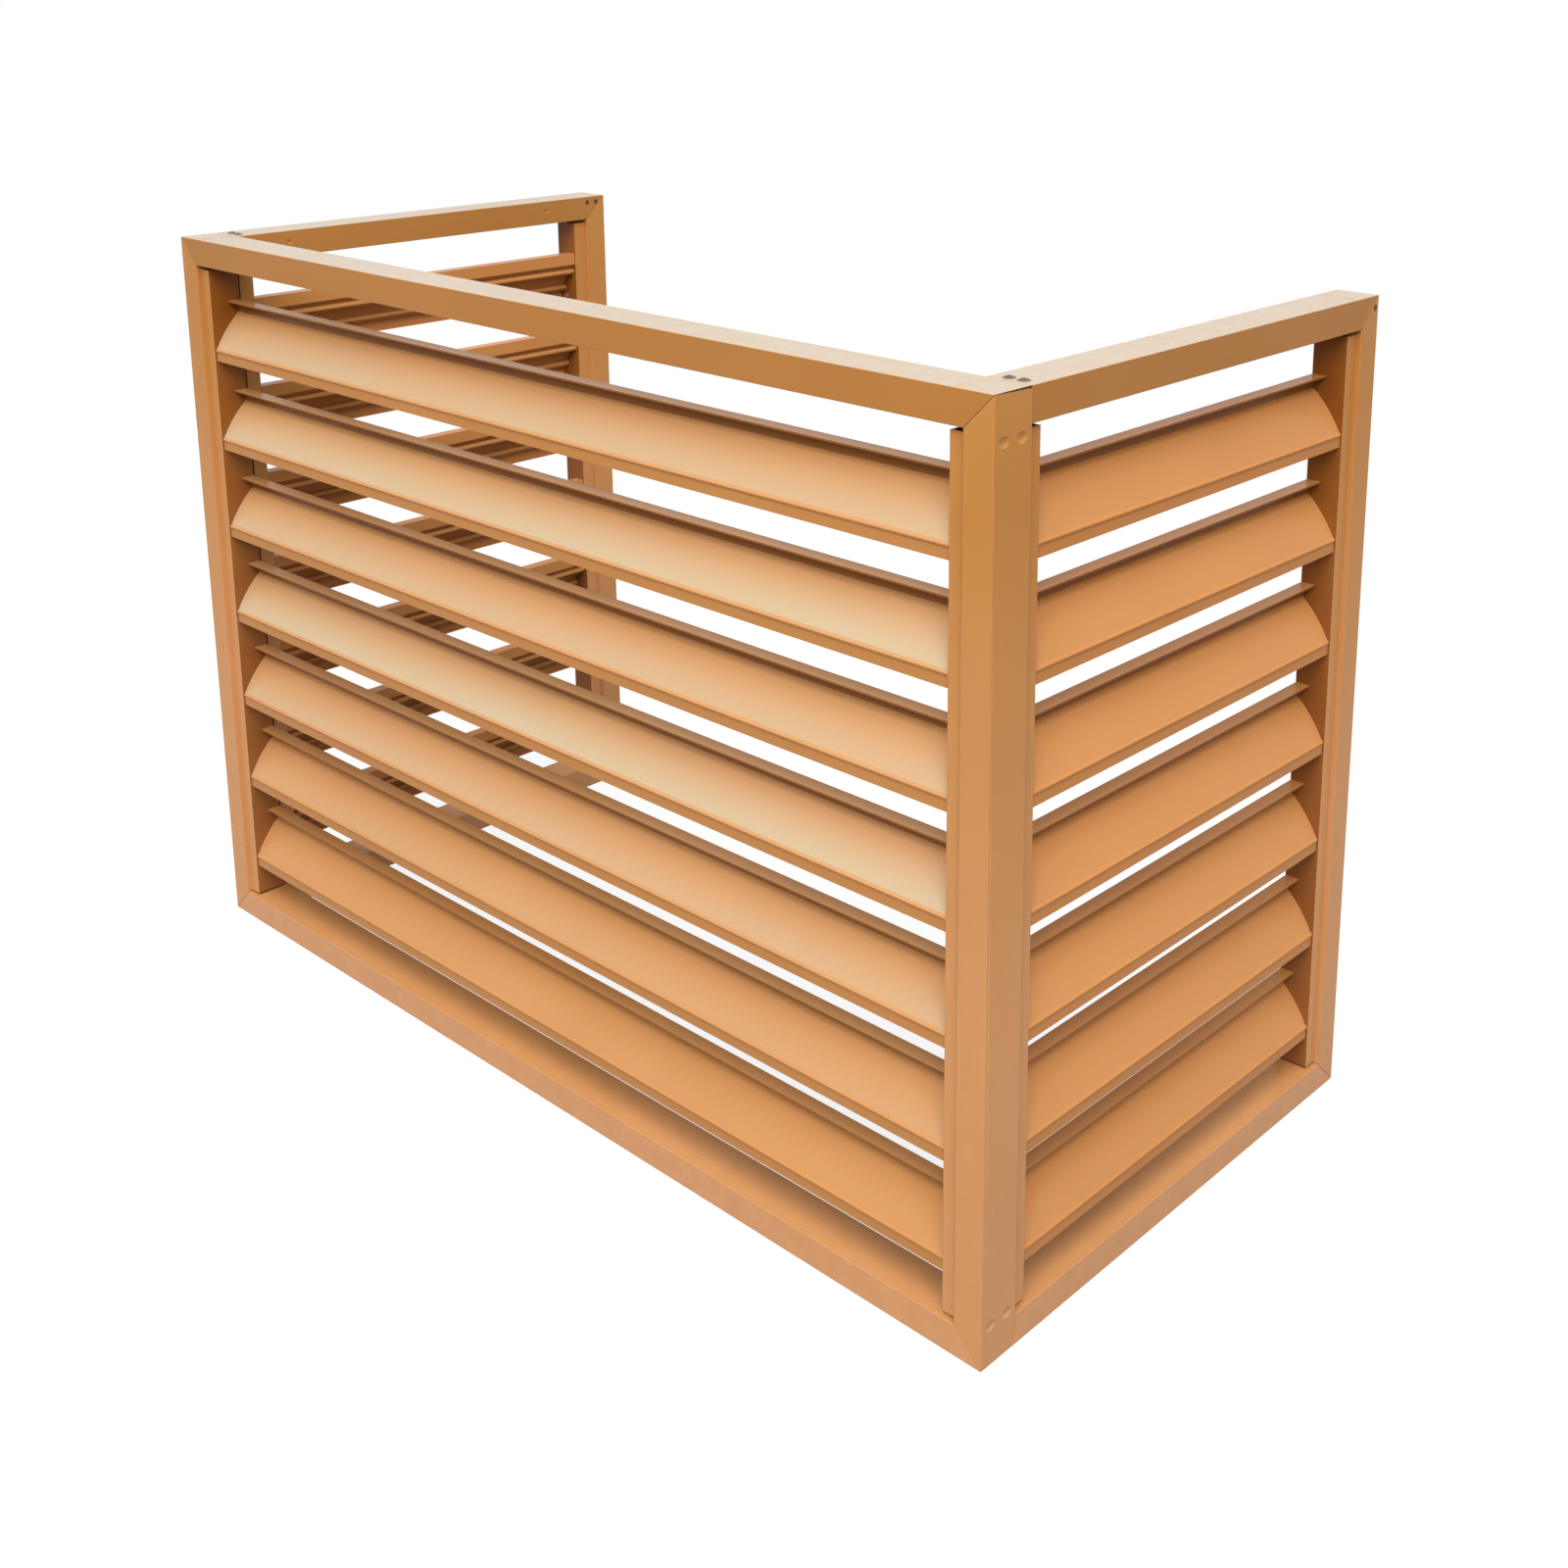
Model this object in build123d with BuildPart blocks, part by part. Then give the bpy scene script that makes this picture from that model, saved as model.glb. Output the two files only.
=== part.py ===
from build123d import *
from math import radians, sqrt, tan
import os

# Air conditioner screen: three louvred aluminium panels that stand round an outdoor unit.
# It is open at the back, at the top and at the bottom.
# X runs along the front, Y goes back to the wall and Z is up. Sizes are in millimetres.
# The origin lies at floor level, in the middle of the footprint.

os.makedirs("parts", exist_ok=True)

# The whole screen, over its outside faces
screen_width = 1000
screen_depth = 485
screen_height = 700

# Box tube of the frame: its narrow face shows, its deep side runs through the panel
tube_face = 25
tube_depth = 38
tube_wall = 1.5
tube_edge_radius = 0.4
mitre_gap = 0.4

# The mitres at the front's top corners gape by this much more at their back
mitre_gape = 1.1

# Press marks that lock a mitred corner: oval, in pairs across the tube's outer face
crimp_setback = 32
crimp_spacing = 18.4
crimp_length = 11
crimp_width = 8
crimp_depth = 1.1

# Corner key inside each mitred corner
key_reach = 45
key_wall = 2.5
key_clearance = 0.3
key_notch_radius = 1.2

# Pressed dimples on the inner face of each side top rail
dimple_front_setback = 54
dimple_back_setback = 80
dimple_drop = 11
dimple_radius = 2.6
dimple_depth = 0.9

# Blade channel: a U-shaped strip beside each post, open towards the post
channel_recess = 4
channel_flange = 14.5
channel_wall = 1.5
channel_edge_radius = 0.8
channel_top_gap = 4
channel_bottom_gap = 2.5

# Louvre blades: the extruded section and its levels
blade_count = 7
blade_height = 56.5
blade_wall = 1.4
blade_front_recess = 5
blade_back_recess = 5
blade_end_gap = 0.3
blade_top_gap = 35
blade_bottom_gap = 33
side_blade_drop = 2.5
lip_length = 12.5
flange_height = 10.3
face_bow = 2.3
nose_height = 10.5
nose_setback = 0.8
foot_return = 3.6
drip_height = 1.2
drip_run = 2.4

# Screw ports along the underside of a blade, as shares of the way up its face
port_shares = (0.18, 0.74)
port_clearance = 0.3
port_wall = 1.3
port_slot = 1.8

# Every fastener passes through its hole with this much room around it
hole_clearance = 0.3

# Screws through the channel into the ends of the blades
blade_screw_radius = 1.7
blade_screw_length = 14
blade_screw_head_radius = 3.4
blade_screw_head_height = 2

# Screws that hold a channel to its post, under every third blade.
# Their inset from the outer face is a share of the tube's face.
channel_screw_radius = 1.8
channel_screw_length = 20
channel_screw_head_radius = 3.6
channel_screw_head_height = 1.8
channel_screw_inset_share = 0.6
channel_screw_rise = 6

# Angle bracket in the front end of each side rail
bracket_thickness = 2
bracket_reach = 14
bracket_clearance = 0.3

# Screws through a bracket into the back of the front frame, a share of its face apart
bracket_screw_radius = 1.8
bracket_screw_length = 12
bracket_screw_head_radius = 3.1
bracket_screw_head_height = 2
bracket_screw_spacing_share = 0.34

# Blind rivets through a side rail into its bracket
rivet_radius = 2
rivet_tail_radius = 3
rivet_tail_height = 1.5
rivet_setback = 7.5
rivet_spacing = 12

# The rivets on top have domed heads, with the hole that the broken-off pin left
dome_radius = 4.7
dome_height = 1.5
pin_hole_radius = 1
pin_hole_depth = 1.8

# The rivets underneath are flush, so that the screen stands level
flush_head_radius = 3.6
flush_head_angle = 120

# Small flush screws at the two rear top corners, placed from the back face and from the top
corner_screw_radius = 1.4
corner_screw_length = 9
corner_screw_head_radius = 2.4
corner_screw_head_angle = 90
corner_screw_tip_gap = 1
inner_screw_mitre_room = 0.8
inner_screw_spacing = 12
inner_screw_drop = 6.5
outer_screw_setback = 4.7
outer_screw_drop = 10

# Cutting tools run past the faces that they cut by this much
overrun = 1

# Directions, and the planes that mirror one piece into another
rightward = Vector(1, 0, 0)
backward = Vector(0, 1, 0)
upward = Vector(0, 0, 1)
mid_width = Plane.YZ
mid_height = Plane.XY.offset(screen_height / 2)

# Outside corners of the frame
right_x = screen_width / 2
back_y = screen_depth / 2
side_start_y = tube_depth - back_y
front_left_top = Vector(-right_x, -back_y, screen_height)
front_right_top = Vector(right_x, -back_y, screen_height)
side_rail_start = Vector(right_x, side_start_y, screen_height)
rear_top = Vector(right_x, back_y, screen_height)
side_rail_length = screen_depth - tube_depth

# Levels of the front blades' feet, from the top one down
rail_top = screen_height - tube_face
highest_foot = rail_top - blade_top_gap - blade_height
lowest_foot = tube_face + blade_bottom_gap
blade_pitch = (highest_foot - lowest_foot) / (blade_count - 1)

# The blades start and end this far from the posts
blade_margin = channel_flange + blade_end_gap
blade_depth = tube_depth - blade_front_recess - blade_back_recess
port_bore_radius = blade_screw_radius + port_clearance


class Opening:
    """The opening of a panel between two posts, from the post that it starts at.

    A section stands across the panel, with x from the outer face inwards and y upwards.
    The plan lies flat, with x along the panel and y from the outer face inwards.
    """

    def __init__(self, corner, along, inward, length, blade_drop):
        self.length = length
        self.feet = [highest_foot - blade_drop - blade_pitch * step for step in range(blade_count)]
        self.section = Plane(origin=corner, x_dir=inward, z_dir=along)
        self.plan = Plane(origin=corner, x_dir=along, z_dir=upward)
        self.middle = self.section.offset(length / 2)
        self.end = self.section.offset(length)


front = Opening(
    corner=Vector(tube_face - right_x, -back_y, 0),
    along=rightward,
    inward=backward,
    length=screen_width - 2 * tube_face,
    blade_drop=0,
)
side = Opening(
    corner=Vector(right_x, side_start_y, 0),
    along=backward,
    inward=-rightward,
    length=side_rail_length - tube_face,
    blade_drop=side_blade_drop,
)


def save(piece, label):
    """Label a finished piece and write it to its own file."""
    piece.part.label = label
    export_step(piece.part, f"parts/{label}.step")


def mirrored(piece, about):
    """The same piece on the other hand."""
    with BuildPart() as twin:
        mirror(piece.part, about=about)
    return twin


def save_both_sides(piece, name):
    """A piece of the right panel, and the same piece in the left one."""
    save(piece, f"right_{name}")
    save(mirrored(piece, mid_width), f"left_{name}")


# Frame: ten lengths of box tube

# A barrel-shaped die leaves each oval press mark. It is made lying along Z, and its
# middle sinks into the tube by the depth of the mark, where its ends only touch the face.
die_radius = (crimp_width**2 / 4 - crimp_depth**2) / (2 * crimp_depth)
with BuildPart() as crimp_die:
    with BuildSketch(Plane.XZ):
        with BuildLine():
            barrel = SagittaArc(
                (die_radius, crimp_length / 2), (die_radius, -crimp_length / 2), crimp_depth
            )
            Polyline(barrel @ 1, (0, -crimp_length / 2), (0, crimp_length / 2), barrel @ 0)
        make_face()
    revolve(axis=Axis.Z)


def frame_tube(
    start, run, inward, length, start_mitred=True, end_mitred=True, start_gape=0
):
    """Box tube along run from its outer corner, with inward pointing at the panel's opening."""
    section = Plane(origin=start, x_dir=inward, z_dir=run)
    through = section.y_dir
    with BuildPart() as tube:
        with BuildSketch(section):
            with Locations((tube_face / 2, tube_depth / 2)):
                RectangleRounded(tube_face, tube_depth, tube_edge_radius)
                Rectangle(
                    tube_face - 2 * tube_wall,
                    tube_depth - 2 * tube_wall,
                    mode=Mode.SUBTRACT,
                )
        extrude(amount=length)
        if start_mitred:
            square = (run - inward).normalized()
            askew = square - through * (start_gape / tube_depth)
            start_mitre = Plane(origin=start, z_dir=askew)
            split(bisect_by=start_mitre.offset(mitre_gap / 2), keep=Keep.TOP)
        if end_mitred:
            end_mitre = Plane(origin=start + run * length, z_dir=run + inward)
            split(bisect_by=end_mitre.offset(-mitre_gap / 2), keep=Keep.BOTTOM)
        crimped = []
        if start_mitred:
            crimped.append(crimp_setback)
        if end_mitred:
            crimped.append(length - crimp_setback)
        tube_middle = Plane(
            origin=start + through * (tube_depth / 2), x_dir=run, z_dir=through
        )
        with Locations(tube_middle):
            with Locations(
                *[
                    (along, -die_radius, offset_through)
                    for along in crimped
                    for offset_through in (-crimp_spacing / 2, crimp_spacing / 2)
                ]
            ):
                add(crimp_die.part, mode=Mode.SUBTRACT)
    return tube


# Places of the fasteners in the frame


def channel_screw_places(opening):
    """Depths from the outer face and heights above the floor, across an opening's section."""
    inset = tube_face * channel_screw_inset_share
    return [(inset, foot + channel_screw_rise) for foot in opening.feet[::3]]


# On the back of the front frame, two bracket screws enter each corner
frame_back = Plane(origin=(0, side_start_y, 0), x_dir=-rightward, z_dir=backward)
corner_centre_x = right_x - tube_face / 2
corner_centre_z = screen_height - tube_face / 2
bracket_screw_spacing = tube_face * bracket_screw_spacing_share
bracket_screw_places = [
    (x, z + offset_up)
    for x in (-corner_centre_x, corner_centre_x)
    for z in (screen_height - corner_centre_z, corner_centre_z)
    for offset_up in (-bracket_screw_spacing / 2, bracket_screw_spacing / 2)
]

# On top of a side rail, two rivets sit behind the front frame
rail_top_face = Plane(origin=side_rail_start, x_dir=backward, z_dir=upward)
rivet_places = [
    (rivet_setback, tube_depth / 2 - rivet_spacing / 2),
    (rivet_setback, tube_depth / 2 + rivet_spacing / 2),
]

# At the rear top corner, places are measured from the back and up from the top edge.
# The near inner screw keeps its head clear of the mitre, which runs at 45 degrees.
mitre_offset = (corner_screw_head_radius + inner_screw_mitre_room) * sqrt(2)
inner_screw_setback = inner_screw_drop + mitre_offset
rear_outer_face = Plane(origin=rear_top, x_dir=-backward, z_dir=rightward)
rear_inner_face = Plane(
    origin=rear_top - rightward * tube_depth, x_dir=-backward, z_dir=-rightward
)
outer_screw_places = [(outer_screw_setback, outer_screw_drop)]
inner_screw_places = [
    (inner_screw_setback, -inner_screw_drop),
    (inner_screw_setback + inner_screw_spacing, -inner_screw_drop),
]


def drill_for_brackets():
    """Holes for the bracket screws, in whichever piece is being made."""
    with Locations(frame_back):
        with Locations(*bracket_screw_places):
            Hole(bracket_screw_radius + hole_clearance, bracket_thickness + overrun)


def drill_for_channel(opening, face):
    """Holes for the screws of one blade channel, through the tube wall behind a face."""
    with Locations(face):
        with Locations(*channel_screw_places(opening)):
            Hole(channel_screw_radius + hole_clearance, tube_wall + overrun)


def sink_for_screws(face, places):
    """Countersunk holes for the small corner screws, from a face into what lies behind it."""
    with Locations(face):
        with Locations(*places):
            CounterSinkHole(
                corner_screw_radius + hole_clearance,
                corner_screw_head_radius + hole_clearance,
                corner_screw_length + corner_screw_tip_gap,
                corner_screw_head_angle,
            )


# Front rails and posts
front_rail_tube = frame_tube(front_left_top, rightward, -upward, screen_width)
with BuildPart() as front_top_rail:
    add(front_rail_tube.part)
    drill_for_brackets()
save(front_top_rail, "front_top_rail")
save(mirrored(front_top_rail, mid_height), "front_bottom_rail")

front_post_tube = frame_tube(
    front_right_top, -upward, -rightward, screen_height, start_gape=mitre_gape
)
with BuildPart() as front_right_post:
    add(front_post_tube.part)
    drill_for_brackets()
    drill_for_channel(front, front.end)
    drill_for_channel(side, side.section)
save(front_right_post, "front_right_post")
save(mirrored(front_right_post, mid_width), "front_left_post")

# Side rails: square against the front frame and mitred at the back
side_rail_tube = frame_tube(
    side_rail_start, backward, -upward, side_rail_length, start_mitred=False
)

# A bottom rail is a side rail turned over, with sunk holes for its flush rivets
with BuildPart() as sunk_rail:
    add(side_rail_tube.part)
    with Locations(rail_top_face):
        with Locations(*rivet_places):
            CounterSinkHole(
                rivet_radius + hole_clearance,
                flush_head_radius + hole_clearance,
                tube_wall + overrun,
                flush_head_angle,
            )
save_both_sides(mirrored(sunk_rail, mid_height), "bottom_rail")

# Only the top rails have dimples and corner screws on their inner face
dimple_ball_radius = (dimple_radius**2 + dimple_depth**2) / (2 * dimple_depth)
with BuildPart() as side_top_rail:
    add(side_rail_tube.part)
    with Locations(rail_top_face):
        with Locations(*rivet_places):
            Hole(rivet_radius + hole_clearance, tube_wall + overrun)
    sink_for_screws(rear_inner_face, inner_screw_places)
    with Locations(rear_inner_face.offset(dimple_ball_radius - dimple_depth)):
        with Locations(
            (side_rail_length - dimple_front_setback, -dimple_drop),
            (dimple_back_setback, -dimple_drop),
        ):
            Sphere(dimple_ball_radius, mode=Mode.SUBTRACT)
save_both_sides(side_top_rail, "top_rail")

# Rear posts
rear_post_tube = frame_tube(rear_top, -upward, -backward, screen_height)
with BuildPart() as rear_post:
    add(rear_post_tube.part)
    drill_for_channel(side, side.end)
    sink_for_screws(rear_outer_face, outer_screw_places)
save_both_sides(rear_post, "rear_post")


# Corner keys: short lengths of cored profile inside the mitred corners


def corner_key(corner, run, through, corner_cored):
    """L-shaped key whose legs lie in the two tubes that meet at the corner."""
    outer = tube_wall + key_clearance
    leg = tube_face - 2 * outer
    cell = leg - 2 * key_wall
    cell_start = outer + leg + key_wall
    cell_length = key_reach - key_wall - cell_start
    from_corner = (Align.MIN, Align.MIN)
    key_plane = Plane(origin=corner + through * outer, x_dir=run, z_dir=through)
    with BuildPart() as key:
        with BuildSketch(key_plane):
            with Locations((outer, outer)):
                Rectangle(key_reach - outer, leg, align=from_corner)
                Rectangle(leg, key_reach - outer, align=from_corner)
            with Locations((cell_start, outer + key_wall)):
                Rectangle(cell_length, cell, align=from_corner, mode=Mode.SUBTRACT)
            with Locations((outer + key_wall, cell_start)):
                Rectangle(cell, cell_length, align=from_corner, mode=Mode.SUBTRACT)
            if corner_cored:
                with Locations((outer + key_wall, outer + key_wall)):
                    Rectangle(cell, cell, align=from_corner, mode=Mode.SUBTRACT)
            with Locations((crimp_setback, outer), (outer, crimp_setback)):
                Circle(key_notch_radius, mode=Mode.SUBTRACT)
        extrude(amount=tube_depth - 2 * outer)
    return key


front_top_key = corner_key(front_right_top, -upward, backward, corner_cored=True)
front_bottom_key = mirrored(front_top_key, mid_height)
save(front_top_key, "front_top_right_key")
save(mirrored(front_top_key, mid_width), "front_top_left_key")
save(front_bottom_key, "front_bottom_right_key")
save(mirrored(front_bottom_key, mid_width), "front_bottom_left_key")

# The keys at the back are solid in the corner, where the small screws enter the top ones
rear_key = corner_key(rear_top, -upward, -rightward, corner_cored=False)
with BuildPart() as rear_top_key:
    add(rear_key.part)
    sink_for_screws(rear_inner_face, inner_screw_places)
    sink_for_screws(rear_outer_face, outer_screw_places)
save_both_sides(rear_top_key, "rear_top_key")
save_both_sides(mirrored(rear_key, mid_height), "rear_bottom_key")


# Angle brackets: one leg on the back of the front frame, the other under the rail's top wall
bracket_plane = Plane(
    origin=side_rail_start
    - upward * tube_wall
    - rightward * (tube_wall + bracket_clearance),
    x_dir=backward,
    z_dir=-rightward,
)
bracket_drop = tube_face - 2 * tube_wall - bracket_clearance
with BuildPart() as rail_bracket:
    with BuildSketch(bracket_plane):
        Rectangle(bracket_reach, bracket_thickness, align=(Align.MIN, Align.MIN))
        Rectangle(bracket_thickness, bracket_drop, align=(Align.MIN, Align.MIN))
    extrude(amount=tube_depth - 2 * tube_wall - 2 * bracket_clearance)
    drill_for_brackets()
    with Locations(rail_top_face):
        with Locations(*rivet_places):
            Hole(rivet_radius + hole_clearance, tube_wall + bracket_thickness + overrun)
save_both_sides(rail_bracket, "top_bracket")
save_both_sides(mirrored(rail_bracket, mid_height), "bottom_bracket")


# Louvre blade: one extruded section, with a nose, a bowed face, a flange and a lip
crease = (nose_setback, nose_height)
shoulder = (blade_depth, blade_height - flange_height)
from_heel = (Align.MIN, Align.MIN)
from_top_corner = (Align.MAX, Align.MAX)
port_centres = []
with BuildSketch() as blade_section:
    # the bowed face, cut off flush with the back of the flange
    with BuildLine():
        face = SagittaArc(crease, shoulder, face_bow)
        offset(amount=blade_wall, side=Side.RIGHT)
    make_face()
    Rectangle(blade_depth, blade_height, align=from_heel, mode=Mode.INTERSECT)
    with Locations((nose_setback, 0)):
        Rectangle(blade_wall, nose_height, align=from_heel)
        Rectangle(blade_wall + foot_return, blade_wall, align=from_heel)
    with Locations((blade_depth, blade_height)):
        Rectangle(blade_wall, flange_height + blade_wall, align=from_top_corner)
        Rectangle(lip_length, blade_wall, align=from_top_corner)
    # drip edge along the crease
    with BuildLine():
        Polyline(
            (nose_setback + blade_wall / 2, nose_height - drip_height),
            (0, nose_height - drip_height),
            (0, nose_height),
            (nose_setback + blade_wall, nose_height + drip_run),
            close=True,
        )
    make_face()
    # C-shaped screw ports under the face, each slotted on the side away from it
    for share in port_shares:
        away = (face % share).rotate(Axis.Z, -90)
        centre = face @ share + away * (blade_wall + port_bore_radius)
        port_centres.append(centre)
        with Locations(Plane(origin=centre, x_dir=away, z_dir=upward)):
            Circle(port_bore_radius + port_wall)
            Circle(port_bore_radius, mode=Mode.SUBTRACT)
            Rectangle(
                port_bore_radius + port_wall + overrun,
                port_slot,
                align=(Align.MIN, Align.CENTER),
                mode=Mode.SUBTRACT,
            )


def blade(opening, foot):
    """One blade across an opening, with its foot at the given height."""
    with BuildPart() as piece:
        with BuildSketch(opening.section.offset(blade_margin)):
            with Locations((blade_front_recess, foot)):
                add(blade_section.sketch)
        extrude(amount=opening.length - 2 * blade_margin)
    return piece


for number, foot in enumerate(front.feet, start=1):
    save(blade(front, foot), f"front_blade_{number}")
for number, foot in enumerate(side.feet, start=1):
    save_both_sides(blade(side, foot), f"blade_{number}")


def blade_screw_places(opening):
    """Places of the screw ports of every blade, across an opening's section."""
    return [
        (blade_front_recess + centre.X, foot + centre.Y)
        for foot in opening.feet
        for centre in port_centres
    ]


# Blade channels


def blade_channel(opening):
    """U-shaped channel on the post that an opening starts at, with its web facing the blades."""
    channel_depth = tube_depth - 2 * channel_recess
    with BuildPart() as channel:
        with BuildSketch(opening.plan.offset(tube_face + channel_bottom_gap)) as profile:
            with Locations((0, tube_depth / 2)):
                Rectangle(channel_flange, channel_depth, align=(Align.MIN, Align.CENTER))
            fillet(profile.vertices().group_by(Axis.X)[-1], channel_edge_radius)
            with Locations((0, tube_depth / 2)):
                Rectangle(
                    channel_flange - channel_wall,
                    channel_depth - 2 * channel_wall,
                    align=(Align.MIN, Align.CENTER),
                    mode=Mode.SUBTRACT,
                )
        extrude(amount=rail_top - tube_face - channel_top_gap - channel_bottom_gap)
        with Locations(opening.section.offset(channel_flange)):
            with Locations(*blade_screw_places(opening)):
                Hole(blade_screw_radius + hole_clearance, channel_wall + overrun)
            with Locations(*channel_screw_places(opening)):
                Hole(channel_screw_radius + hole_clearance, channel_wall + overrun)
    return channel


front_left_channel = blade_channel(front)
save(front_left_channel, "front_left_blade_channel")
save(mirrored(front_left_channel, mid_width), "front_right_blade_channel")

side_front_channel = blade_channel(side)
save_both_sides(side_front_channel, "front_blade_channel")
save_both_sides(mirrored(side_front_channel, side.middle), "rear_blade_channel")


# Fasteners


def hexagon_screws(face, places, head_radius, head_height, radius, length):
    """Screws with hexagon heads that stand on a face, with their shanks going down through it."""
    with BuildPart() as screws:
        with BuildSketch(face):
            with Locations(*places):
                RegularPolygon(head_radius, side_count=6)
        extrude(amount=head_height)
        with BuildSketch(face):
            with Locations(*places):
                Circle(radius)
        extrude(amount=-length)
    return screws


def blade_screws(opening):
    """Screws at both ends of every blade in an opening, with their heads inside the channels."""
    inside_web = -opening.section.offset(channel_flange - channel_wall)
    places = [(across, -up) for across, up in blade_screw_places(opening)]
    near_end = hexagon_screws(
        inside_web,
        places,
        blade_screw_head_radius,
        blade_screw_head_height,
        blade_screw_radius,
        blade_screw_length,
    )
    with BuildPart() as both_ends:
        add(near_end.part)
        mirror(near_end.part, about=opening.middle)
    return both_ends


save(blade_screws(front), "front_blade_screws")
save_both_sides(blade_screws(side), "blade_screws")


def channel_screws(opening):
    """Screws that hold the channel where an opening starts."""
    return hexagon_screws(
        opening.section.offset(channel_flange),
        channel_screw_places(opening),
        channel_screw_head_radius,
        channel_screw_head_height,
        channel_screw_radius,
        channel_screw_length,
    )


front_channel_screws = channel_screws(front)
side_channel_screws = channel_screws(side)
with BuildPart() as right_channel_screws:
    add(side_channel_screws.part)
    mirror(side_channel_screws.part, about=side.middle)
with BuildPart() as all_channel_screws:
    add(front_channel_screws.part)
    mirror(front_channel_screws.part, about=mid_width)
    add(right_channel_screws.part)
    mirror(right_channel_screws.part, about=mid_width)
save(all_channel_screws, "channel_screws")

bracket_screws = hexagon_screws(
    frame_back.offset(bracket_thickness),
    bracket_screw_places,
    bracket_screw_head_radius,
    bracket_screw_head_height,
    bracket_screw_radius,
    bracket_screw_length,
)
save(bracket_screws, "bracket_screws")


def flush_fastener(radius, head_radius, head_angle, length):
    """Shank with a countersunk head, standing below the origin with its head's flat on top."""
    head_depth = (head_radius - radius) / tan(radians(head_angle / 2))
    with BuildPart() as fastener:
        with BuildSketch(Plane.XZ):
            with BuildLine():
                Polyline(
                    (0, 0),
                    (head_radius, 0),
                    (radius, -head_depth),
                    (radius, -length),
                    (0, -length),
                    close=True,
                )
            make_face()
        revolve(axis=Axis.Z)
    return fastener


# Blind rivets: a tail swells under the bracket, and the heads differ on top and underneath
rivet_grip = tube_wall + bracket_thickness
with BuildPart() as rivet_tail:
    with Locations((0, 0, -rivet_grip)):
        Cylinder(
            rivet_tail_radius,
            rivet_tail_height,
            align=(Align.CENTER, Align.CENTER, Align.MAX),
        )

with BuildPart() as domed_rivet:
    with BuildSketch(Plane.XZ):
        with BuildLine():
            dome = TangentArc((0, dome_height), (dome_radius, 0), tangent=(1, 0))
            Polyline(
                dome @ 1,
                (rivet_radius, 0),
                (rivet_radius, -rivet_grip),
                (0, -rivet_grip),
                dome @ 0,
            )
        make_face()
    revolve(axis=Axis.Z)
    add(rivet_tail.part)
    with Locations((0, 0, dome_height)):
        Hole(pin_hole_radius, pin_hole_depth)

flush_shank = flush_fastener(rivet_radius, flush_head_radius, flush_head_angle, rivet_grip)
with BuildPart() as flush_rivet:
    add(flush_shank.part)
    add(rivet_tail.part)


def rivets_on_both_sides(rivet):
    """Two rivets in the front end of the right top rail, and the same two on the left."""
    with BuildPart() as right_rivets:
        with Locations(rail_top_face):
            with Locations(*rivet_places):
                add(rivet.part)
    with BuildPart() as rivets:
        add(right_rivets.part)
        mirror(right_rivets.part, about=mid_width)
    return rivets


save(rivets_on_both_sides(domed_rivet), "top_rivets")
flush_rivets = rivets_on_both_sides(flush_rivet)
save(mirrored(flush_rivets, mid_height), "bottom_rivets")

corner_screw = flush_fastener(
    corner_screw_radius,
    corner_screw_head_radius,
    corner_screw_head_angle,
    corner_screw_length,
)
with BuildPart() as right_corner_screws:
    with Locations(rear_inner_face):
        with Locations(*inner_screw_places):
            add(corner_screw.part)
    with Locations(rear_outer_face):
        with Locations(*outer_screw_places):
            add(corner_screw.part)
with BuildPart() as rear_corner_screws:
    add(right_corner_screws.part)
    mirror(right_corner_screws.part, about=mid_width)
save(rear_corner_screws, "rear_corner_screws")
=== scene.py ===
import math

import bpy
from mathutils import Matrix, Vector

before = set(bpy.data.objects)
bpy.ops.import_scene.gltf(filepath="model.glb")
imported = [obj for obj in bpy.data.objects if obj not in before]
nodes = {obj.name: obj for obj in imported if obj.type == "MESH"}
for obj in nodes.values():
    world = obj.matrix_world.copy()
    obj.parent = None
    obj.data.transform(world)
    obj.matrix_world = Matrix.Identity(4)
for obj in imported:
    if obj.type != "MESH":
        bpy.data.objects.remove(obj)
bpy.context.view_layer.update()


# Frame: ten lengths of aluminium box tube, mitred and locked at the corners with press marks.
# They are powder coated in a light orange brown. The coat dries with a fine orange peel, drifts
# a little in colour, and holds splashed dirt near the floor; its open tops are paled by fine dust
# and a painted reflection.


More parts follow.
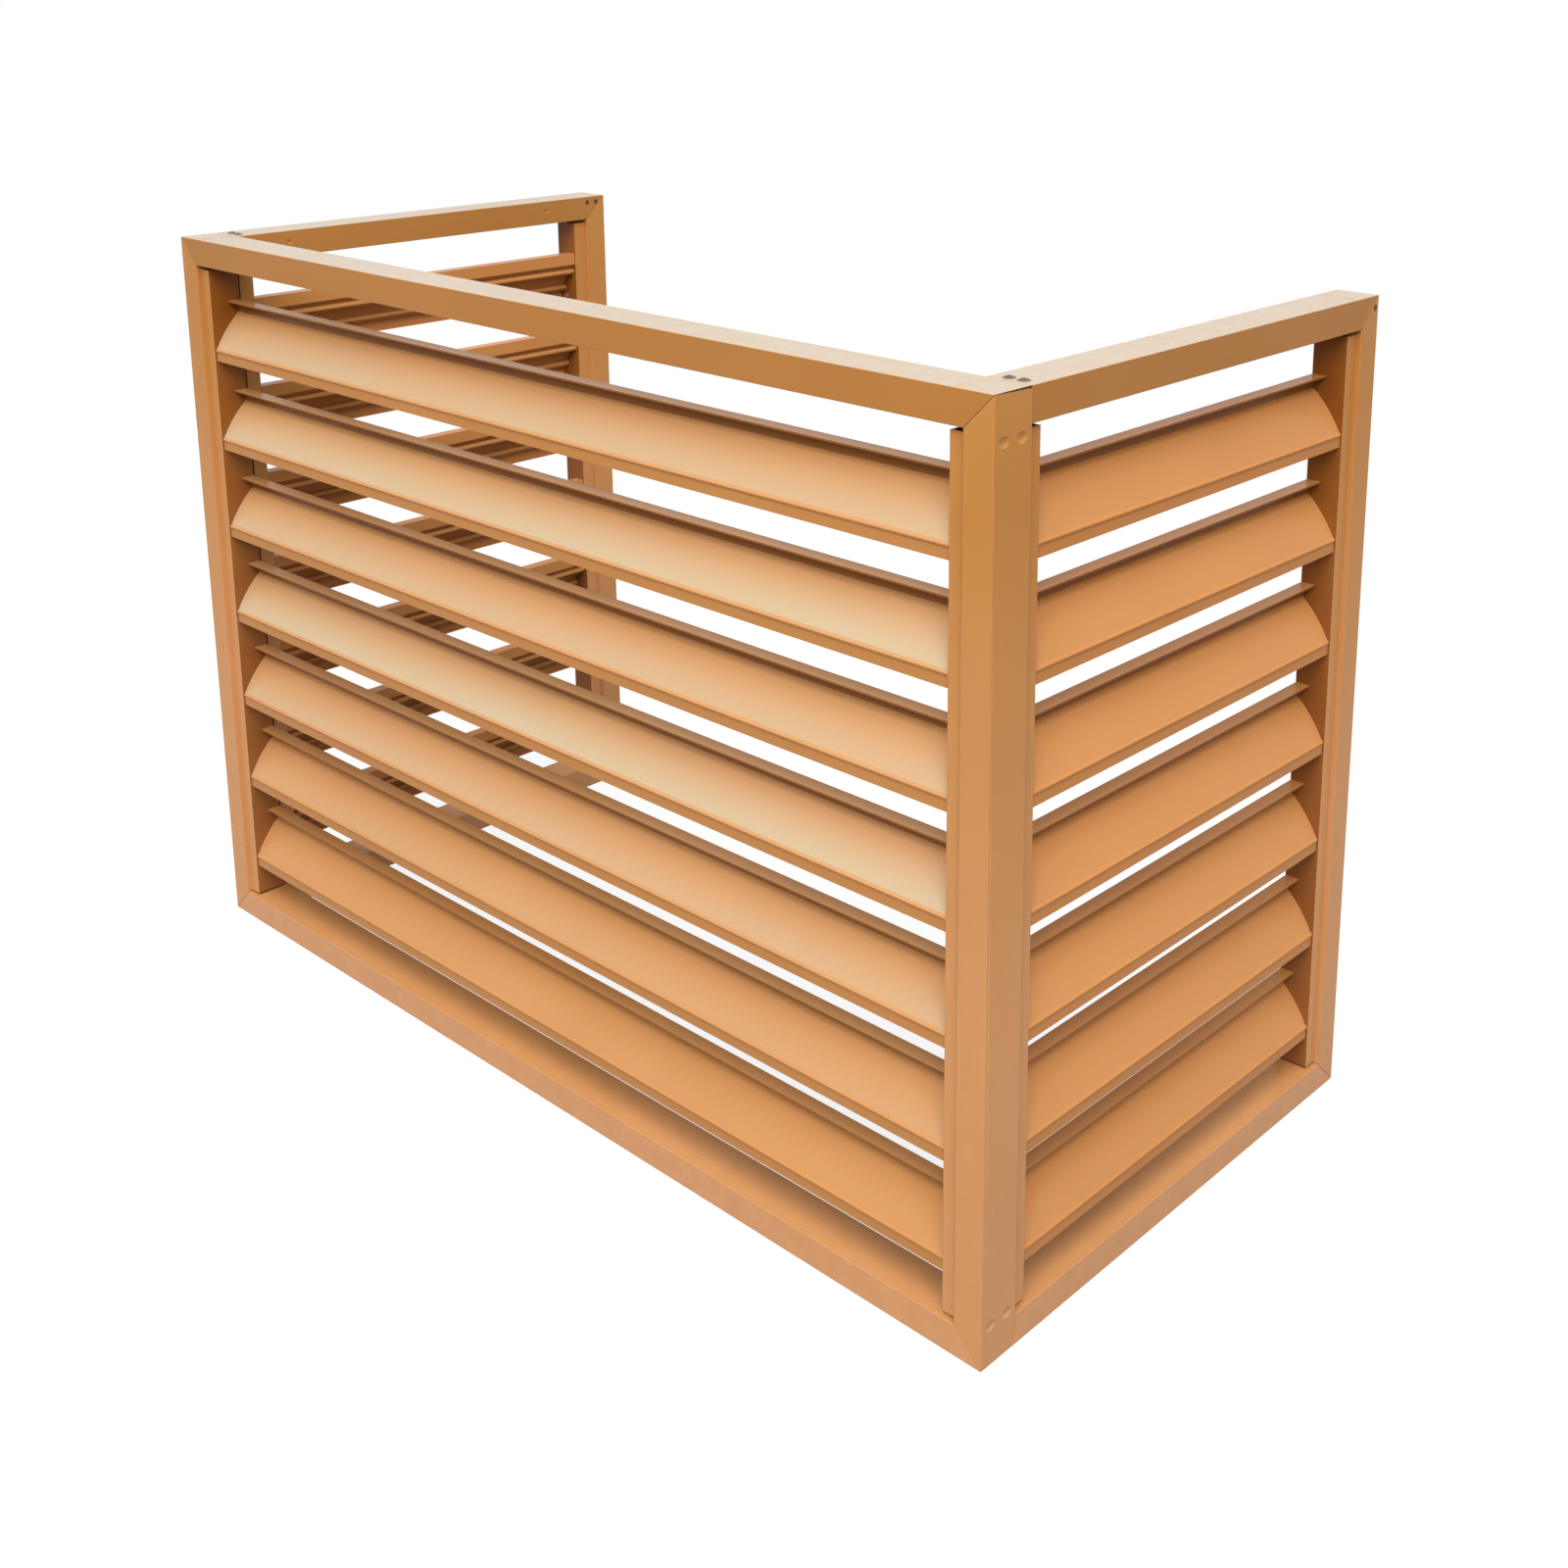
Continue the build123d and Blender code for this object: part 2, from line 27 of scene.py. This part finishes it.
class Wire:
    """One socket of a material's nodes. Arithmetic on it adds the nodes that do the sum."""

    noise_middle = 0.5

    def __init__(self, tree, socket=None):
        self.tree = tree
        self.socket = socket

    def node(self, kind, settings=None, inputs=None, output=0):
        """A new node with its settings made, its inputs set or linked, and one output taken."""
        made = self.tree.nodes.new(kind)
        for name, value in (settings or {}).items():
            setattr(made, name, value)
        for name, value in (inputs or {}).items():
            if isinstance(value, Wire):
                self.tree.links.new(value.socket, made.inputs[name])
            else:
                made.inputs[name].default_value = value
        return Wire(self.tree, made.outputs[output])

    def sum(self, operation, first, second):
        """A sum on two numbers, either of which may be a wire."""
        return self.node("ShaderNodeMath", {"operation": operation}, {0: first, 1: second})

    def __add__(self, other):
        return self.sum("ADD", self, other)

    def __radd__(self, other):
        return self.sum("ADD", other, self)

    def __sub__(self, other):
        return self.sum("SUBTRACT", self, other)

    def __rsub__(self, other):
        return self.sum("SUBTRACT", other, self)

    def __mul__(self, other):
        return self.sum("MULTIPLY", self, other)

    def __rmul__(self, other):
        return self.sum("MULTIPLY", other, self)

    def fraction(self):
        """What this wire holds past its last whole number."""
        return self.node("ShaderNodeMath", {"operation": "FRACT"}, {0: self})

    def ramp(self, low, high):
        """This wire from nothing at low to everything at high."""
        inputs = {"Value": self, "From Min": low, "From Max": high}
        return self.node("ShaderNodeMapRange", {}, inputs)

    def noise(self, per_metre, detail, roughness=0.5):
        """Noise over the place that this wire gives."""
        inputs = {"Vector": self, "Scale": per_metre, "Detail": detail, "Roughness": roughness}
        return self.node("ShaderNodeTexNoise", {}, inputs)

    def about_one(self, spread):
        """This noise as a factor that varies about 1."""
        return 1 - spread * self.noise_middle + spread * self

    def about_zero(self, spread):
        """This noise as an amount that varies about 0."""
        return spread * (self - self.noise_middle)

    def over(self, below, colour):
        """A colour laid over another one, as thickly as this wire says."""
        if not isinstance(below, Wire):
            below = (*below, 1)
        inputs = {0: self, 6: below, 7: (*colour, 1)}
        return self.node("ShaderNodeMix", {"data_type": "RGBA"}, inputs, output=2)

    def axis(self, name):
        """One axis of the direction or place that this wire gives."""
        return self.node("ShaderNodeSeparateXYZ", {}, {0: self}, output="XYZ".index(name))

    def into(self, shader, name):
        """Lead this wire to a socket of a shader."""
        self.tree.links.new(self.socket, shader.inputs[name])


def new_material(name):
    """A material with only its shader, and a wire to start its other nodes from."""
    material = bpy.data.materials.new(name)
    material.use_nodes = True
    shader = material.node_tree.nodes["Principled BSDF"]
    return material, Wire(material.node_tree), shader


def powder_coat(name, thin, full, along, sheen, dirt_share, painted_light=None, painted_shade=None):
    """Satin powder coat on an extrusion that runs along one axis.

    Painted light given for an extrusion lies below the splashed dirt and the dust with its painted
    reflection, and painted shade given for it above them.
    """
    material, start, shader = new_material(name)
    place = start.node("ShaderNodeTexCoord", output="Object")
    facing = start.node("ShaderNodeNewGeometry", output="Normal")
    height = place.axis("Z")
    upward = facing.axis("Z")

    # the coat drifts between a thin and a full layer
    drift_per_metre = 6
    drift_detail = 3
    thin_below = 0.35
    full_above = 0.65
    drift = place.noise(drift_per_metre, drift_detail)
    colour = drift.ramp(thin_below, full_above).over(thin, full)
    if painted_light:
        colour = painted_light(colour, place, facing, drift)

    # splashed dirt thickens towards the floor, and the rain washes it off what faces up
    speckle_per_metre = 60
    speckle_detail = 6
    speckle_roughness = 0.65
    open_above = 0.6
    washed_share = 0.6
    dirt_colour = (0.670, 0.335, 0.165)
    dirt_top = 0.62
    dirt_full = 0.26
    dirt_spread = 0.6
    speckle = place.noise(speckle_per_metre, speckle_detail, speckle_roughness)
    open_top = upward.ramp(open_above, 1)
    kept = speckle.about_one(dirt_spread) * (1 - washed_share * open_top)
    dirt = dirt_share * height.ramp(dirt_top, dirt_full) * kept
    colour = dirt.over(colour, dirt_colour)

    # fine dust and a painted reflection of the white surroundings pale the open tops of the upper
    # rails
    dust_and_reflection_colour = (0.39, 0.45, 0.40)
    dust_and_reflection_share = 0.48
    dust_and_reflection_spread = 0.8
    pale_tops_start = 0.65
    pale_tops_full = 0.69
    pale_tops = open_top * height.ramp(pale_tops_start, pale_tops_full)
    dust_and_reflection = dust_and_reflection_share * pale_tops * speckle.about_one(dust_and_reflection_spread)
    colour = dust_and_reflection.over(colour, dust_and_reflection_colour)
    if painted_shade:
        colour = painted_shade(colour, facing, drift)
    colour.into(shader, "Base Color")

    # the surface has an orange peel, and faint die lines below it
    peel_per_metre = 650
    peel_height = 0.00002
    peel_strength = 0.6
    line_per_metre = 450
    line_stretch = 0.004
    line_share = 0.1
    fine_detail = 1
    stretch = [line_stretch if axis == along else 1 for axis in "XYZ"]
    drawn = place.node("ShaderNodeMapping", {}, {"Vector": place, "Scale": stretch})
    lines = drawn.noise(line_per_metre, fine_detail)
    surface = place.noise(peel_per_metre, fine_detail) + line_share * lines
    bump = {"Height": surface, "Distance": peel_height, "Strength": peel_strength}
    surface.node("ShaderNodeBump", {}, bump).into(shader, "Normal")

    # the gloss drifts with the coat, follows the die lines and dulls under dirt
    roughness = 0.24
    drift_dulling = 0.1
    line_dulling = 0.03
    dirt_dulling = 0.12
    uneven = drift.about_zero(drift_dulling) + lines.about_zero(line_dulling)
    (roughness + (uneven + dirt_dulling * dirt)).into(shader, "Roughness")
    shader.inputs["Specular IOR Level"].default_value = sheen
    return material


def dress(names, material):
    """Give CAD nodes their material in place of the plain one."""
    for name in names:
        slots = nodes[name].data.materials
        slots.clear()
        slots.append(material)


# painted shade: the rails take a darker copy of the same coat as the posts
rail_shaded_thin = (0.385, 0.165, 0.042)
rail_shaded_full = (0.365, 0.152, 0.035)
rail_dirt = 0.68
post_thin = (0.466, 0.204, 0.054)
post_full = (0.441, 0.188, 0.046)
post_dirt = 0.45
frame_sheen = 0.1
front_rails = ["front_top_rail", "front_bottom_rail"]
side_rails = ["left_top_rail", "left_bottom_rail", "right_top_rail", "right_bottom_rail"]
posts = [name for name in nodes if name.endswith("_post")]
front_rail_coat = powder_coat(
    "front_rail_coat", rail_shaded_thin, rail_shaded_full, "X", frame_sheen, rail_dirt
)
side_rail_coat = powder_coat("side_rail_coat", rail_shaded_thin, rail_shaded_full, "Y", frame_sheen, rail_dirt)
post_coat = powder_coat("post_coat", post_thin, post_full, "Z", frame_sheen, post_dirt)
dress(front_rails, front_rail_coat)
dress(side_rails, side_rail_coat)
dress(posts, post_coat)


# Corner keys and angle brackets: mill-finish aluminium inside the tubes, seen only in the gaps
# of the mitres. The keys are crimped in, and the brackets are riveted to the side rails.


def bare_metal(name, colour, roughness):
    """Metal without a coat, with a fine grain."""
    grain_per_metre = 400
    grain_detail = 2
    grain_depth = 0.8
    grain_dulling = 0.1
    material, start, shader = new_material(name)
    place = start.node("ShaderNodeTexCoord", output="Object")
    grain = place.noise(grain_per_metre, grain_detail)
    dark = tuple(grain_depth * share for share in colour)
    grain.over(dark, colour).into(shader, "Base Color")
    (roughness + grain.about_zero(grain_dulling)).into(shader, "Roughness")
    shader.inputs["Metallic"].default_value = 1
    return material


keys_and_brackets = [name for name in nodes if name.endswith(("_key", "_bracket"))]
mill_alloy = bare_metal("mill_alloy", colour=(0.74, 0.74, 0.75), roughness=0.4)
dress(keys_and_brackets, mill_alloy)


# Blind rivets: plain aluminium, pulled through the side rails into the angle brackets, coloured
# a dark brown as a painted reflection of dark surroundings. The domed ones on the top rails
# show, and the flush ones underneath don't.
rivet_dark_reflection = bare_metal("rivet_dark_reflection", colour=(0.24, 0.18, 0.125), roughness=0.34)
dress(["top_rivets", "bottom_rivets"], rivet_dark_reflection)


# Small countersunk screws at the rear top corners: blackened steel, gone brown. They are driven
# through the tube's wall into the corner keys.
blackened_steel = bare_metal("blackened_steel", colour=(0.10, 0.065, 0.045), roughness=0.45)
dress(["rear_corner_screws"], blackened_steel)


# Blade channels: U-shaped aluminium strips screwed to the posts, coated like the frame. Their
# webs are darkened with painted shade, for the pockets between the blades' ends.
# painted shade: a near-black orange for the channels' webs and under the blades' lips
painted_shade_colour = (0.17, 0.042, 0.002)


def web_shade(across):
    """Painted shade on a channel's web, which faces across its opening."""

    def laid_on(colour, facing, drift):
        web_shade_share = 0.78
        web_shade_spread = 0.4
        web_starts = 0.3
        web_full = 0.8
        side = facing.axis(across)
        web = (side * side).ramp(web_starts, web_full)
        return (web_shade_share * web * drift.about_one(web_shade_spread)).over(colour, painted_shade_colour)

    return laid_on


channels = [name for name in nodes if name.endswith("_blade_channel")]
front_channels = [name for name in channels if name.startswith("front_")]
side_channels = [name for name in channels if name not in front_channels]
front_channel_coat = powder_coat(
    "front_channel_coat", post_thin, post_full, "Z", frame_sheen, post_dirt, painted_shade=web_shade("X")
)
side_channel_coat = powder_coat(
    "side_channel_coat", post_thin, post_full, "Z", frame_sheen, post_dirt, painted_shade=web_shade("Y")
)
dress(front_channels, front_channel_coat)
dress(side_channels, side_channel_coat)


# Louvre blades: extruded aluminium, coated from another batch than the frame and a little
# duller. Their faces get a painted highlight, strongest on the upper front blades and uneven
# from blade to blade with their own pale tone, and painted shade under each lip. Screws through
# the channels hold their ends.


def blade_painted_light(pale_highlight_share, foot, across):
    """A blade's painted highlight and painted shade under its lip; its lowest foot is at the given
    height.
    """

    def laid_on(colour, place, facing, drift):
        upward = facing.axis("Z")

        # painted highlight: the face is palest where it steepens towards its foot; its share also
        # carries the blade's own pale tone
        pale_highlight_colour = (0.445, 0.455, 0.335)
        pale_highlight_spread = 0.6
        slope_starts = 0.05
        slope_full = 0.20
        fade_share = 0.8
        fade_starts = 0.46
        fade_full = 0.70
        slope = upward.ramp(slope_starts, slope_full)
        highlight_mask = slope * (1 - fade_share * upward.ramp(fade_starts, fade_full))
        pale_highlight = pale_highlight_share * highlight_mask * drift.about_one(pale_highlight_spread)
        colour = pale_highlight.over(colour, pale_highlight_colour)

        # painted shade under the lip: the flange and the lip's edge, which stand upright and face
        # outwards in a blade's upper part, are darkened
        blade_pitch = 0.08758
        foot_margin = 0.001
        upper_starts = 0.49
        upper_full = 0.51
        outward_full = 0.1
        upright_below = 0.05
        slanted_above = 0.20
        lip_shade_share = 0.62
        level = (place.axis("Z") - (foot - foot_margin)) * (1 / blade_pitch)
        upper = level.fraction().ramp(upper_starts, upper_full)
        outward = (facing.axis(across) * place.axis(across)).ramp(0, outward_full)
        upright = 1 - (upward * upward).ramp(upright_below, slanted_above)
        lip_shade = lip_shade_share * upper * outward * upright
        return lip_shade.over(colour, painted_shade_colour)

    return laid_on


blade_thin = (0.458, 0.204, 0.065)
blade_full = (0.438, 0.191, 0.057)
blade_sheen = 0.06
blade_dirt = 0.06
front_foot = 0.058
# painted highlight for each front blade, stronger on the upper ones, also carrying each blade's
# own pale tone
front_pale_highlight = (0.44, 0.56, 0.44, 0.60, 0.36, 0.20, 0.06)
for number, pale_highlight_share in enumerate(front_pale_highlight, start=1):
    name = f"front_blade_{number}"
    painted_light = blade_painted_light(pale_highlight_share, front_foot, "Y")
    coat = powder_coat(
        f"{name}_coat", blade_thin, blade_full, "X", blade_sheen, blade_dirt, painted_light=painted_light
    )
    dress([name], coat)
side_thin = (0.488, 0.203, 0.060)
side_full = (0.468, 0.190, 0.054)
# a faint painted highlight on the side blades
side_pale_highlight = 0.06
side_foot = 0.0555
side_blades = [name for name in nodes if name.startswith(("left_blade_", "right_blade_"))]
side_blades = [name for name in side_blades if not name.endswith("_screws")]
side_painted_light = blade_painted_light(side_pale_highlight, side_foot, "X")
side_coat = powder_coat(
    "side_blade_coat", side_thin, side_full, "Y", blade_sheen, blade_dirt, painted_light=side_painted_light
)
dress(side_blades, side_coat)


# Screws of the blades, channels and brackets: zinc-plated steel with hexagon heads. The blades'
# have their heads inside the channels, the channels' own are behind the blades' feet, and the
# brackets' are inside the side rails, so that none shows from the front.
zinc_screws = [name for name in nodes if name.endswith("_blade_screws")]
zinc_screws += ["channel_screws", "bracket_screws"]
zinc_plate = bare_metal("zinc_plate", colour=(0.62, 0.63, 0.64), roughness=0.35)
dress(zinc_screws, zinc_plate)


# Studio: a plain floor and white surroundings. The floor shows white with a soft shadow, and
# gives the object only a little light back.
floor_size = 200
floor_bounce = (0.12, 0.12, 0.12)
floor_white = (0.95, 0.95, 0.95)
shadow_share = 0.18
shadow_near = 0.8
shadow_far = 2.2
bpy.ops.object.select_all(action="DESELECT")
bpy.ops.mesh.primitive_plane_add(size=floor_size, location=(0, 0, 0))
floor = bpy.context.object
floor.name = "floor"
floor_material, start, shader = new_material("pale_floor")
shader.inputs["Base Color"].default_value = (*floor_bounce, 1)
shader.inputs["Roughness"].default_value = 1
shader.inputs["Specular IOR Level"].default_value = 0
place = start.node("ShaderNodeTexCoord", output="Object")
distance = place.node("ShaderNodeVectorMath", {"operation": "LENGTH"}, {0: place}, output=1)
shadow_range = {
    "Value": distance,
    "From Min": shadow_near,
    "From Max": shadow_far,
    "To Min": shadow_share,
    "To Max": 0,
}
lit_share = distance.node(
    "ShaderNodeMapRange", {"interpolation_type": "SMOOTHSTEP"}, shadow_range
)
lit = start.node("ShaderNodeBsdfDiffuse", {}, {"Color": (*floor_white, 1)})
white = start.node("ShaderNodeEmission", {}, {"Color": (1, 1, 1, 1), "Strength": 1})
seen_floor = start.node("ShaderNodeMixShader", {}, {0: lit_share, 1: white, 2: lit})


def seen_ray(start):
    """Whether a ray sees the surroundings: straight, by a reflection or through glass."""
    straight = start.node("ShaderNodeLightPath", output="Is Camera Ray")
    reflected = start.node("ShaderNodeLightPath", output="Is Glossy Ray")
    through = start.node("ShaderNodeLightPath", output="Is Transmission Ray")
    return straight + reflected + through


plain_floor = Wire(floor_material.node_tree, shader.outputs[0])
shown = {0: seen_ray(start), 1: plain_floor, 2: seen_floor}
floor_output = floor_material.node_tree.nodes["Material Output"]
start.node("ShaderNodeMixShader", {}, shown).into(floor_output, "Surface")
floor.data.materials.append(floor_material)


# Light: an even dome, a broad lamp above the camera, and a long low one to the left of the
# front, which lights the faces of the front blades along their length.
dome_light = 0.65
world = bpy.data.worlds.new("studio")
bpy.context.scene.world = world
world.use_nodes = True
background = world.node_tree.nodes["Background"]
seen_world = seen_ray(Wire(world.node_tree))
(dome_light + (1 - dome_light) * seen_world).into(background, "Strength")
background.inputs["Color"].default_value = (1, 1, 1, 1)


def soft_lamp(name, place, size, radiance):
    """A rectangular lamp that points at the middle of the object."""
    target = Vector((0.1, -0.1, 0.35))
    lamp = bpy.data.lights.new(name, "AREA")
    lamp.shape = "RECTANGLE"
    lamp.size, lamp.size_y = size
    lamp.energy = radiance * math.pi * lamp.size * lamp.size_y
    holder = bpy.data.objects.new(name, lamp)
    holder.location = place
    holder.rotation_euler = (target - Vector(place)).to_track_quat("-Z", "Y").to_euler()
    bpy.context.scene.collection.objects.link(holder)


soft_lamp("band_lamp", place=(-3.6, -3.3, 1.0), size=(3.6, 0.9), radiance=1.8)
soft_lamp("broad_lamp", place=(2.0, -2.4, 4.2), size=(4.5, 4.5), radiance=7.0)


# Camera: fitted to the frame's corners in the photo. The photo's size, the focal length and the
# view's centre are in its pixels, and the turn is in degrees.
photo_size = 1600
focal_length = 1944.4
view_centre = (917.8, 418.1)
camera_place = (1.2169, -1.1290, 0.9608)
camera_turn = (76.649, -0.141, 41.929)
sensor_width = 36
lens = bpy.data.cameras.new("camera")
lens.sensor_width = sensor_width
lens.lens = sensor_width * focal_length / photo_size
lens.shift_x = (photo_size / 2 - view_centre[0]) / photo_size
lens.shift_y = (view_centre[1] - photo_size / 2) / photo_size
camera = bpy.data.objects.new("camera", lens)
camera.location = camera_place
camera.rotation_euler = [math.radians(angle) for angle in camera_turn]
bpy.context.scene.collection.objects.link(camera)
bpy.context.scene.camera = camera
bpy.context.scene.view_settings.view_transform = "Standard"
